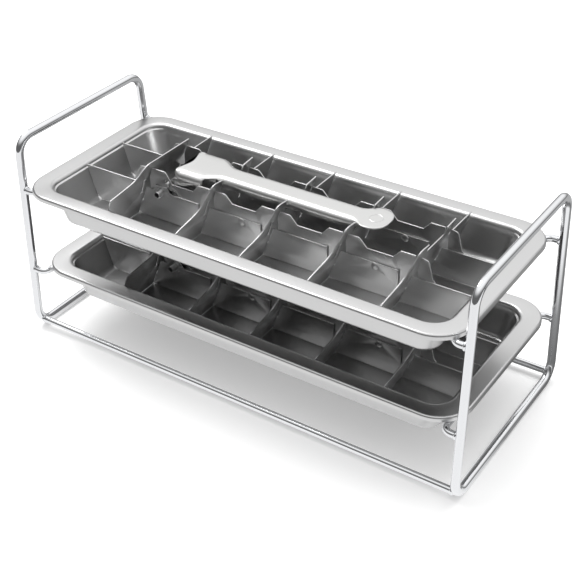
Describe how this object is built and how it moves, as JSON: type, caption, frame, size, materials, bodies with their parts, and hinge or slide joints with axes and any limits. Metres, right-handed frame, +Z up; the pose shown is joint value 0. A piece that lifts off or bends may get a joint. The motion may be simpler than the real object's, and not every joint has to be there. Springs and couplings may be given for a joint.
{
  "type": "lever ice cube tray set",
  "caption": "Two-tier wire rack with two pressed steel ice cube trays, each with a lever-worked divider of notched plates and leaning cross blades.",
  "frame": {"origin": "on the floor under the middle of the rack", "axes": "+X along the trays, -Y the side that the trays slide out of, +Z up"},
  "size_m": [0.293, 0.1256, 0.129],
  "materials": {
    "chrome_wire": "bright chrome",
    "pan_steel": "satin",
    "divider_steel": "smooth rolled",
    "lever_steel": "satin"
  },
  "bodies": {
    "rack": {"left_end_frame": "chrome_wire", "right_end_frame": "chrome_wire", "front_base_wire": "chrome_wire", "rear_base_wire": "chrome_wire", "upper_left_support": "chrome_wire", "upper_right_support": "chrome_wire", "lower_left_support": "chrome_wire", "lower_right_support": "chrome_wire"},
    "upper_tray": {"upper_pan": "pan_steel"},
    "upper_grid": {"upper_front_fixed_plate": "divider_steel", "upper_rear_fixed_plate": "divider_steel", "upper_pivot_tube": "divider_steel", "upper_guide_rivets": "divider_steel"},
    "upper_plates": {"upper_front_notched_plate": "divider_steel", "upper_rear_notched_plate": "divider_steel"},
    "upper_lever": {"upper_lever": "lever_steel", "upper_link_pin": "divider_steel"},
    "upper_blade_1": {"upper_blade_1": "divider_steel"},
    "upper_blade_2": {"upper_blade_2": "divider_steel"},
    "upper_blade_3": {"upper_blade_3": "divider_steel"},
    "upper_blade_4": {"upper_blade_4": "divider_steel"},
    "upper_blade_5": {"upper_blade_5": "divider_steel"},
    "lower_tray": {"lower_pan": "pan_steel", "lower_front_fixed_plate": "divider_steel", "lower_rear_fixed_plate": "divider_steel", "lower_pivot_tube": "divider_steel", "lower_guide_rivets": "divider_steel"},
    "lower_plates": {"lower_front_notched_plate": "divider_steel", "lower_rear_notched_plate": "divider_steel"},
    "lower_lever": {"lower_lever": "lever_steel", "lower_link_pin": "divider_steel"},
    "lower_blade_1": {"lower_blade_1": "divider_steel"},
    "lower_blade_2": {"lower_blade_2": "divider_steel"},
    "lower_blade_3": {"lower_blade_3": "divider_steel"},
    "lower_blade_4": {"lower_blade_4": "divider_steel"},
    "lower_blade_5": {"lower_blade_5": "divider_steel"}
  },
  "joints": [
    {"name": "upper_tray_slide", "type": "slide", "parent": "rack", "child": "upper_tray", "axis": [0, -1, 0], "range_m": [0, 0.13]},
    {"name": "upper_grid_lift", "type": "slide", "parent": "upper_tray", "child": "upper_grid", "axis": [0, 0, 1], "range_m": [0, 0.06]},
    {"name": "upper_lever_turn", "type": "hinge", "parent": "upper_grid", "child": "upper_lever", "pos_m": [-0.0705, 0, 0.0972], "axis": [0, -1, 0], "range_deg": [0, 75]},
    {"name": "upper_plates_slide", "type": "slide", "parent": "upper_grid", "child": "upper_plates", "axis": [-1, 0, 0], "range_m": [0, 0.00894]},
    {"name": "upper_blade_1_turn", "type": "hinge", "parent": "upper_grid", "child": "upper_blade_1", "pos_m": [-0.089, 0, 0.0799], "axis": [0, -1, 0], "range_deg": [0, 20.05]},
    {"name": "upper_blade_2_turn", "type": "hinge", "parent": "upper_grid", "child": "upper_blade_2", "pos_m": [-0.043, 0, 0.0799], "axis": [0, -1, 0], "range_deg": [0, 20.05]},
    {"name": "upper_blade_3_turn", "type": "hinge", "parent": "upper_grid", "child": "upper_blade_3", "pos_m": [0, 0, 0.0799], "axis": [0, -1, 0], "range_deg": [0, 20.05]},
    {"name": "upper_blade_4_turn", "type": "hinge", "parent": "upper_grid", "child": "upper_blade_4", "pos_m": [0.043, 0, 0.0799], "axis": [0, -1, 0], "range_deg": [0, 20.05]},
    {"name": "upper_blade_5_turn", "type": "hinge", "parent": "upper_grid", "child": "upper_blade_5", "pos_m": [0.086, 0, 0.0799], "axis": [0, -1, 0], "range_deg": [0, 20.05]},
    {"name": "lower_tray_slide", "type": "slide", "parent": "rack", "child": "lower_tray", "axis": [0, -1, 0], "range_m": [0, 0.13]},
    {"name": "lower_lever_turn", "type": "hinge", "parent": "lower_tray", "child": "lower_lever", "pos_m": [-0.0695, 0, 0.0443], "axis": [0, -1, 0], "range_deg": [0, 5]},
    {"name": "lower_plates_slide", "type": "slide", "parent": "lower_tray", "child": "lower_plates", "axis": [-1, 0, 0], "range_m": [0, 0.000614]},
    {"name": "lower_blade_1_turn", "type": "hinge", "parent": "lower_tray", "child": "lower_blade_1", "pos_m": [-0.088, 0, 0.027], "axis": [0, -1, 0], "range_deg": [0, 1.38]},
    {"name": "lower_blade_2_turn", "type": "hinge", "parent": "lower_tray", "child": "lower_blade_2", "pos_m": [-0.042, 0, 0.027], "axis": [0, -1, 0], "range_deg": [0, 1.38]},
    {"name": "lower_blade_3_turn", "type": "hinge", "parent": "lower_tray", "child": "lower_blade_3", "pos_m": [0.001, 0, 0.027], "axis": [0, -1, 0], "range_deg": [0, 1.38]},
    {"name": "lower_blade_4_turn", "type": "hinge", "parent": "lower_tray", "child": "lower_blade_4", "pos_m": [0.044, 0, 0.027], "axis": [0, -1, 0], "range_deg": [0, 1.38]},
    {"name": "lower_blade_5_turn", "type": "hinge", "parent": "lower_tray", "child": "lower_blade_5", "pos_m": [0.087, 0, 0.027], "axis": [0, -1, 0], "range_deg": [0, 1.38]}
  ],
  "couplings": [
    {"joint": "upper_plates_slide", "follows": "upper_lever_turn", "m_per_rad": 0.0068123},
    {"joint": "upper_blade_1_turn", "follows": "upper_lever_turn", "ratio": 0.26667},
    {"joint": "upper_blade_2_turn", "follows": "upper_lever_turn", "ratio": 0.26667},
    {"joint": "upper_blade_3_turn", "follows": "upper_lever_turn", "ratio": 0.26667},
    {"joint": "upper_blade_4_turn", "follows": "upper_lever_turn", "ratio": 0.26667},
    {"joint": "upper_blade_5_turn", "follows": "upper_lever_turn", "ratio": 0.26667},
    {"joint": "lower_plates_slide", "follows": "lower_lever_turn", "m_per_rad": 0.0068123},
    {"joint": "lower_blade_1_turn", "follows": "lower_lever_turn", "ratio": 0.26667},
    {"joint": "lower_blade_2_turn", "follows": "lower_lever_turn", "ratio": 0.26667},
    {"joint": "lower_blade_3_turn", "follows": "lower_lever_turn", "ratio": 0.26667},
    {"joint": "lower_blade_4_turn", "follows": "lower_lever_turn", "ratio": 0.26667},
    {"joint": "lower_blade_5_turn", "follows": "lower_lever_turn", "ratio": 0.26667}
  ]
}
